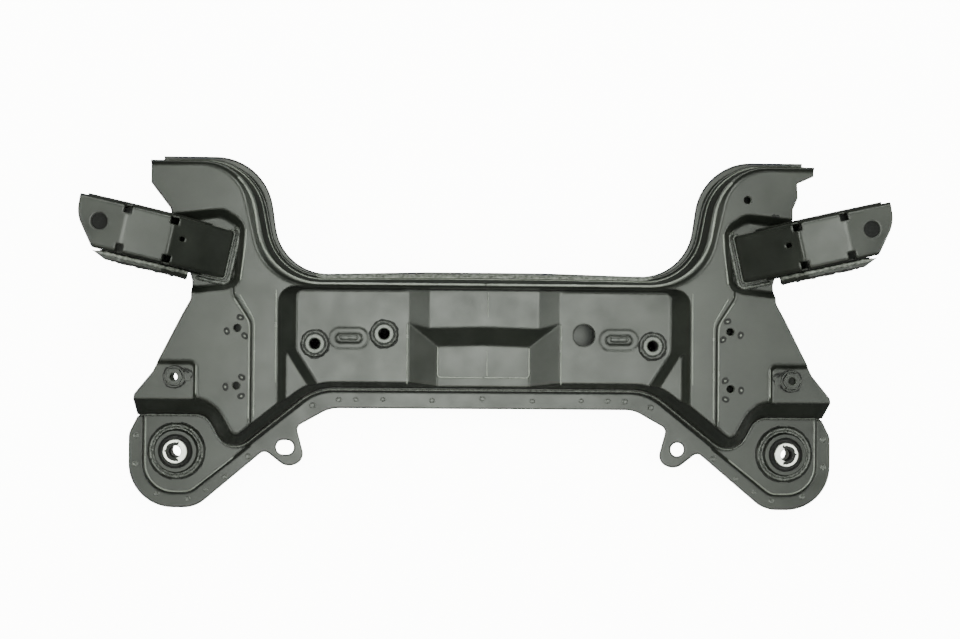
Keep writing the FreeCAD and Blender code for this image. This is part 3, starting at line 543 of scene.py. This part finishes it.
class SUBFRAME_OT_front_seam(bpy.types.Operator):
    """Seam weld along the foot of the front wall, coloured paler as a painted highlight, painted
    highlights on the wall's crest and hem, and painted shade on its lip edge
    """
    bl_idname = "subframe.front_seam"
    bl_label = "Front seam"

    def execute(self, context):
        width, height, pitch = weld_sizes(context)
        level = LIP_TOP + 5.3 * MM
        foot = rounded(whole(FRONT_FOOT), level)
        middle = foot[np.abs(foot[:, 0]) < STRAIGHT_HALF * MM]
        tips = rounded([(x, FRONT_FOOT[0][1]) for x in (-SEAM_HALF, SEAM_HALF)], level)
        seam = np.vstack([tips[:1], middle, tips[1:]])
        # the seam's paler colour is a painted highlight
        piece("front_seam_weld", bead(seam, width * 1.7, height * 0.5, pitch, lean=-55, rough=0.1),
              "weld_metal_painted_highlight")
        side = foot[foot[:, 0] > STRAIGHT_HALF * MM] - (0, 0, 2 * MM)
        side = np.vstack([side[:1] * (0, 1, 1) + (SEAM_ENDS * MM, 0, 0), side])
        ends = bead(side, width * 0.6, height * 0.6, pitch=30, lean=-50, rough=0.03)
        piece("front_seam_ends", both(ends), "fine_edged_electrocoat")
        # painted shade: a near-black line along the lip's edge
        lip = bead(rounded(FRONT_LIP, LIP_TOP), 1.5, 0.3, pitch=9, rough=0.1)
        piece("front_lip_painted_shade", both(lip), "painted_shade_and_dark_marks")
        # painted highlights: paler lines on the wall's crest and hem
        crest = rounded(FRONT_CREST, RIM - 0.3 * MM)
        crest = crest[crest[:, 1] < CREST_STOP * MM + SHIFT_Y]
        piece("front_crest_painted_highlight", both(bead(crest, 2.6, 0.5, pitch=60, rough=0.04)),
              "painted_highlight_edge_coat")
        hem = rounded(whole(FRONT_HEM), LIP_TOP + 16 * MM)
        piece("front_hem_painted_highlight", bead(hem, 2.6, 0.9, pitch=9, lean=-55, rough=0.02),
              "painted_highlight_edge_coat")
        return {"FINISHED"}


class SUBFRAME_OT_rear_seam(bpy.types.Operator):
    """Seam weld on the upper edge of the rear flange and at the foot of the lobe walls"""
    bl_idname = "subframe.rear_seam"
    bl_label = "Rear seam"

    def execute(self, context):
        width, height, pitch = weld_sizes(context)
        rim = rounded(whole(REAR_RIM), LEDGE - 0.3 * MM)
        piece("rear_seam_weld", bead(rim, width * 0.5, height * 0.5, pitch, rough=0.1),
              "coated_weld_metal")
        return {"FINISHED"}


class SUBFRAME_OT_bush_welds(bpy.types.Operator):
    """Rough weld rings round the bush housings, and painted shade in the gap round each housing,
    down each bore and on the sleeve's end
    """
    bl_idname = "subframe.bush_welds"
    bl_label = "Bush welds"

    # Radius, width and height of the two rings, and how deep they are sunk
    rings = ((27.6, 4.4, 1.4), (31.2, 3.4, 1.0))
    sunk = 0.7 * MM
    # Painted shade in the gap round the housing runs in two arcs, from and to in degrees
    gaps = ((-82, 82), (97, 262))
    # The painted shade of the bore's wall, a crescent on the sleeve's end, and the notches out of
    # it, in degrees
    crescent = (-108, 112)
    notches = (-106, 4, 110)

    def execute(self, context):
        pitch = weld_sizes(context)[2]
        rings = [bead(circle(*BUSH, r, HOUSING_FLANGE - self.sunk), width, height, pitch,
                      rough=0.3, seed=r, closed=True) for r, width, height in self.rings]
        piece("bush_weld_rings", both(joined(rings)), "coated_weld_metal")
        # painted shade: the gap round the housing, the crescent and notches on the sleeve's end,
        # and the bore's lining
        edges = [bead(circle(*BUSH, HOUSING_FLANGE_R + 0.5, LOBE_PLATE, *gap), 1.3, 0.4, pitch=5,
                      rough=0.4) for gap in self.gaps]
        edges.append(bead(circle(*BUSH, 9.3, SLEEVE_TOP, *self.crescent), 3.8, 0.15, pitch=5,
                          rough=0.2))
        edges.append(shade_lining(*BUSH, SLEEVE_BORE_R, SLEEVE_TOP - 20 * MM, SLEEVE_TOP - 0.2 * MM))
        for angle in self.notches:
            way = [circle(*BUSH, r, SLEEVE_TOP, angle, angle)[0] for r in (8.4, 13.0)]
            edges.append(bead(np.stack(way), 2.0, 0.2, pitch=5))
        piece("bush_painted_shade", both(joined(edges)), "painted_shade_and_dark_marks")
        return {"FINISHED"}


class SUBFRAME_OT_tube_welds(bpy.types.Operator):
    """Weld rings round the steering rack tubes, with painted shade round them, down the tubes'
    bores and on their floors
    """
    bl_idname = "subframe.tube_welds"
    bl_label = "Rack tube welds"

    def execute(self, context):
        pitch = weld_sizes(context)[2]
        rings, outer, inner, floor_shades, bore_shades = [], [], [], [], []
        for x, y in RACK_TUBES:
            rings.append(bead(circle(x, y, TUBE_R + 2.2, CENTRE_PANEL + 0.6 * MM), 4.4, 1.7, pitch,
                              rough=0.25, seed=x, closed=True))
            # painted shade: dark rings beside the weld, outside and inside
            outer.append(bead(circle(x + 0.3, y - 0.3, TUBE_R + 4.7, CENTRE_PANEL), 2.4, 0.3,
                              pitch=4, rough=0.5, seed=x, closed=True))
            inner.append(bead(circle(x, y, TUBE_R + 0.7, CENTRE_PANEL + 1.9 * MM), 2.1, 0.5,
                              pitch=5, rough=0.2, seed=y, closed=True))
            # painted shade: a dark disc on the floor of the tube, a bead round its middle, nearly
            # as wide as the bore
            floor_shades.append(bead(circle(x, y, TUBE_BORE_R / 2, TUBE_FOOT), TUBE_BORE_R - 0.3, 0.3,
                               pitch=9, rough=0.01, closed=True))
            bore_shades.append(shade_lining(x, y, TUBE_BORE_R, TUBE_FOOT + 1 * MM, TUBE_TOP - 1 * MM))
        piece("rack_tube_weld_rings", joined(rings), "fine_edged_electrocoat")
        piece("rack_tube_painted_shade", joined(outer + inner + floor_shades + bore_shades), "painted_shade_and_dark_marks")
        return {"FINISHED"}


class SUBFRAME_OT_horn_welds(bpy.types.Operator):
    """Welds round the foot of each horn and along its side flange, with painted shade along the
    flange's edge and under the horn's hole, and the mark on the ear
    """
    bl_idname = "subframe.horn_welds"
    bl_label = "Horn welds"

    def execute(self, context):
        width, height, pitch = weld_sizes(context)
        level = HORN_POCKET + 0.4 * MM
        root = bead(horn_place(HORN_WELD, level), width, height * 1.4, pitch=12, rough=0.07,
                    lumps=0.05)
        foot = bead(horn_place(HORN_FOOT, level), 2.8, 2.2, pitch=12, rough=0.05)
        piece("horn_root_welds", both(joined([root, foot])), "coated_weld_metal")
        # the side weld's paler colour is a painted highlight
        side = horn_place(HORN_SIDE_SEAM, HORN_SIDE) + (0, 0, 0.8 * MM)
        side = bead(side, width * 0.8, height * 0.8, pitch, lean=25, rough=0.3)
        piece("horn_side_welds", both(side), "weld_metal_painted_highlight")
        # painted shade: a dark line along the side flange's edge
        edge = horn_place(HORN_SIDE_EDGE, HORN_SIDE) + (0, 0, 0.6 * MM)
        edge = bead(edge, 2.6, 0.6, pitch=5, rough=0.4)
        # painted shade on the inside of the lower channel under the horn's hole
        x, y = horn_place([(HORN_HOLE[0] + 8, HORN_HOLE[1])], 0.0)[0][:2] / MM
        shade = band(x, y - SHIFT_Y / MM, 0.3, 12.5, HORN_INSIDE, HORN_INSIDE + 0.3 * MM)
        piece("horn_painted_shade", both(joined([edge, shade])), "painted_shade_and_dark_marks")
        piece("ear_weld_mark", bead(rounded(EAR_MARK, STRIP), 2.6, 0.8, pitch, rough=0.5),
              "painted_shade_and_dark_marks")
        return {"FINISHED"}


class SUBFRAME_OT_pressings(bpy.types.Operator):
    """Pad ridges, nut rims, painted highlights on the middle crease, the pressed edges and the
    lugs, and painted shade round the slots and the arm nut
    """
    bl_idname = "subframe.pressings"
    bl_label = "Pressings"

    # Painted shade round the arm nut: offset, radius, arc in degrees, flatness, and width and
    # roughness
    nut_shade_marks = (((0, 0), 13.2, 200, 500, 1.0, 1.9, 0.6), ((0, 0), 9.4, 150, 400, 1.0, 1.5, 0.6),
                 ((-14, 3), 7.5, 60, 300, 0.8, 2.0, 0.7), ((-13, 4), 4.0, 30, 250, 0.7, 1.6, 0.7))

    def execute(self, context):
        pad = rounded([(PAD[0] + x, PAD[1]) for x in (-PAD_HALF, PAD_HALF)],
                      CENTRE_PANEL + 1.1 * MM)
        piece("pressed_pad_ridges", both(bead(pad, 6.6, 1.3, pitch=60)), "fine_edged_electrocoat")
        rims = [both(self.nut_rim(nut, OUTER_PLATE)) for nut in STABILISER_NUTS]
        piece("nut_rims", joined(rims + [self.nut_rim(EAR_NUT, STRIP)]), "plain_electrocoat")
        # painted highlight: a pale line on the crease
        crease = [bead(rounded([(CREASE_X, a), (CREASE_X, b)], z), 1.3, 0.2, pitch=60, rough=0.03)
                  for a, b, z in CREASES]
        piece("middle_crease_painted_highlight", joined(crease), "painted_highlight_edge_coat")
        # painted highlights: pale lines on the pressed edges and on the lugs in the slots
        lines = [bead(rounded(way, z), 1.9, 0.5, pitch=40, rough=0.03) for way, z in EDGE_LINES]
        slots = []
        for x, y, turn in SLOTS:
            lug = circle(x, y, 1.2, OUTER_PLATE - 0.3 * MM, flat=0.6, turn=turn)
            lines.append(bead(lug, 1.9, 0.5, pitch=9, closed=True))
            # painted shade: a dark ring round each slot
            rim = circle(x, y, 3.4, OUTER_PLATE, flat=0.66, turn=turn)
            slots.append(bead(rim, 2.7, 0.35, pitch=4, rough=0.2, closed=True))
        piece("pressed_edge_painted_highlights", both(joined(lines)), "painted_highlight_edge_coat")
        for (x, y), radius, start, end, flat, width, rough in self.nut_shade_marks:
            mark = circle(ARM_NUT[0] + x, ARM_NUT[1] + y, radius, NUT_PAD, start, end, flat)
            slots.append(bead(mark, width, 0.3, pitch=4, rough=rough))
        piece("slot_and_nut_painted_shade", both(joined(slots)), "painted_shade_and_dark_marks")
        return {"FINISHED"}

    def nut_rim(self, nut, level):
        """Flat rim round a nut's hole, a hair above the sheet."""
        return band(*nut, NUT_BORE_R, NUT_COLLAR_R, level - 0.5 * MM, level + 0.03 * MM)


class SUBFRAME_OT_spots(bpy.types.Operator):
    """Spot weld marks of the rear flange, above and below"""
    bl_idname = "subframe.spots"
    bl_label = "Spot welds"

    # Only the marks farther out than this go through to the underside of the lobes
    inner_end = 230

    def execute(self, context):
        radius = context.scene.subframe_weld.spot / MM
        places = [MIDDLE_SPOT] + SPOTS + [(-x, y) for x, y in SPOTS]
        piece("spot_welds_above", spot_marks(places, FLANGE_TOP, radius), "coated_weld_metal")
        below = [(x, y) for x, y in places if abs(x) > self.inner_end]
        piece("spot_welds_below", spot_marks(below, UNDER_FLANGE, radius, -1), "coated_weld_metal")
        return {"FINISHED"}


class SUBFRAME_OT_threads(bpy.types.Operator):
    """Threads in the bores of the nuts"""
    bl_idname = "subframe.threads"
    bl_label = "Threads"

    # How far below the sheet the thread of a welded nut starts and ends
    below = (11.2 * MM, 0.8 * MM)
    # The arm nut's thread stands in the pad, from below its face to above it
    about_pad = (-1.8 * MM, 10.4 * MM)

    def execute(self, context):
        threads = [both(thread(*nut, *(OUTER_PLATE - d for d in self.below)))
                   for nut in STABILISER_NUTS]
        threads.append(both(thread(*ARM_NUT, *(NUT_PAD + d for d in self.about_pad))))
        threads.append(thread(*EAR_NUT, *(STRIP - d for d in self.below)))
        piece("nut_threads", joined(threads), "dull_zinc_plate")
        return {"FINISHED"}


class SUBFRAME_OT_stage(bpy.types.Operator):
    """Pale lit floor, soft lights, and the camera at the photograph's angle"""
    bl_idname = "subframe.stage"
    bl_label = "Stage"

    # Places and sizes in metres; the strip behind the part gives a share of the others' power
    floor_half = 15
    key_place, key_size = (0.05, 0.0, 2.9), (1.5, 1.2)
    strip_places = ((-1.5, 0.1), (1.5, 0.1), (0.0, 1.5), (0.0, -1.5))
    strip_height, strip_size, rear_share = 1.5, (1.9, 0.4), 0.35
    # The camera stands this far from a point over the drawing's middle, a little to the left,
    # and is tipped by the small angles read from the photograph, in degrees
    camera_away, camera_aside, aim_height = 2.2, -6.4 * MM, 90 * MM
    camera_turns = ((2.3, "Y"), (-0.94, "X"), (-0.46, "Z"))
    lens, sensor = 68.75, 36.0

    def execute(self, context):
        s = context.scene.subframe_stage
        self.floor(s)
        world = bpy.data.worlds.new("room")
        world.use_nodes = True
        background = world.node_tree.nodes["Background"]
        background.inputs["Color"].default_value = linear("#eef2ee")
        background.inputs["Strength"].default_value = s.room
        context.scene.world = world
        self.light("key", self.key_place, self.key_size, s.key)
        for k, (x, y) in enumerate(self.strip_places):
            share = self.rear_share if y < 0 else 1.0
            self.light("strip_%d" % k, (x, y, self.strip_height), self.strip_size, s.strip * share)
        self.camera(context)
        return {"FINISHED"}

    def floor(self, s):
        """A pale square that glows for the camera alone and lights nothing."""
        h = self.floor_half
        mesh = bpy.data.meshes.new("floor")
        mesh.from_pydata([(-h, -h, 0), (h, -h, 0), (h, h, 0), (-h, h, 0)], [], [(0, 1, 2, 3)])
        floor = bpy.data.objects.new("floor", mesh)
        material = bpy.data.materials.new("pale_lit_floor")
        material.use_nodes = True
        shader = material.node_tree.nodes["Principled BSDF"]
        shader.inputs["Base Color"].default_value = s.floor
        shader.inputs["Roughness"].default_value = 0.9
        shader.inputs["Emission Color"].default_value = s.floor
        shader.inputs["Emission Strength"].default_value = s.glow
        mesh.materials.append(material)
        floor.visible_glossy = False
        floor.visible_diffuse = False
        bpy.context.scene.collection.objects.link(floor)

    def light(self, name, place, size, power):
        """A rectangular lamp that faces the middle of the part."""
        data = bpy.data.lights.new(name, "AREA")
        data.shape = "RECTANGLE"
        data.size, data.size_y = size
        data.energy = power
        data.color = linear("#f8fff4")[:3]
        light = bpy.data.objects.new(name, data)
        light.location = place
        light.rotation_euler = (-Vector(place)).to_track_quat("-Z", "Y").to_euler()
        bpy.context.scene.collection.objects.link(light)

    def camera(self, context):
        """Looks down on the part."""
        turns = [Matrix.Rotation(math.radians(a), 3, axis) for a, axis in self.camera_turns]
        back = (turns[2] @ turns[1] @ turns[0]).transposed()
        data = bpy.data.cameras.new("camera")
        data.sensor_width = self.sensor
        data.lens = self.lens
        camera = bpy.data.objects.new("camera", data)
        place = Vector((0, SHIFT_Y, self.aim_height))
        place += back @ Vector((self.camera_aside, 0, self.camera_away))
        camera.matrix_world = Matrix.Translation(place) @ back.to_4x4()
        context.scene.collection.objects.link(camera)
        context.scene.camera = camera


class SUBFRAME_PT_panel(bpy.types.Panel):
    """Lists the steps of the subframe's looks and their settings"""
    bl_idname = "SUBFRAME_PT_panel"
    bl_label = "Subframe"
    bl_space_type = "VIEW_3D"
    bl_region_type = "UI"
    bl_category = "Subframe"

    def draw(self, context):
        for name in SETTINGS:
            group = getattr(context.scene, name)
            for key in group.__annotations__:
                self.layout.prop(group, key)
        for operator in OPERATORS:
            self.layout.operator(operator.bl_idname)


SETTINGS = {"subframe_finish": FinishSettings, "subframe_weld": WeldSettings,
            "subframe_stage": StageSettings}
OPERATORS = (SUBFRAME_OT_finishes, SUBFRAME_OT_front_seam, SUBFRAME_OT_rear_seam,
             SUBFRAME_OT_bush_welds, SUBFRAME_OT_tube_welds, SUBFRAME_OT_horn_welds,
             SUBFRAME_OT_pressings, SUBFRAME_OT_spots, SUBFRAME_OT_threads, SUBFRAME_OT_stage)


def register():
    for name, group in SETTINGS.items():
        bpy.utils.register_class(group)
        setattr(bpy.types.Scene, name, bpy.props.PointerProperty(type=group))
    for kind in OPERATORS + (SUBFRAME_PT_panel,):
        bpy.utils.register_class(kind)


def unregister():
    for kind in reversed(OPERATORS + (SUBFRAME_PT_panel,)):
        bpy.utils.unregister_class(kind)
    for name, group in SETTINGS.items():
        delattr(bpy.types.Scene, name)
        bpy.utils.unregister_class(group)


def main():
    register()
    bpy.ops.subframe.finishes()
    bpy.ops.subframe.front_seam()
    bpy.ops.subframe.rear_seam()
    bpy.ops.subframe.bush_welds()
    bpy.ops.subframe.tube_welds()
    bpy.ops.subframe.horn_welds()
    bpy.ops.subframe.pressings()
    bpy.ops.subframe.spots()
    bpy.ops.subframe.threads()
    bpy.ops.subframe.stage()


if __name__ == "__main__":
    main()
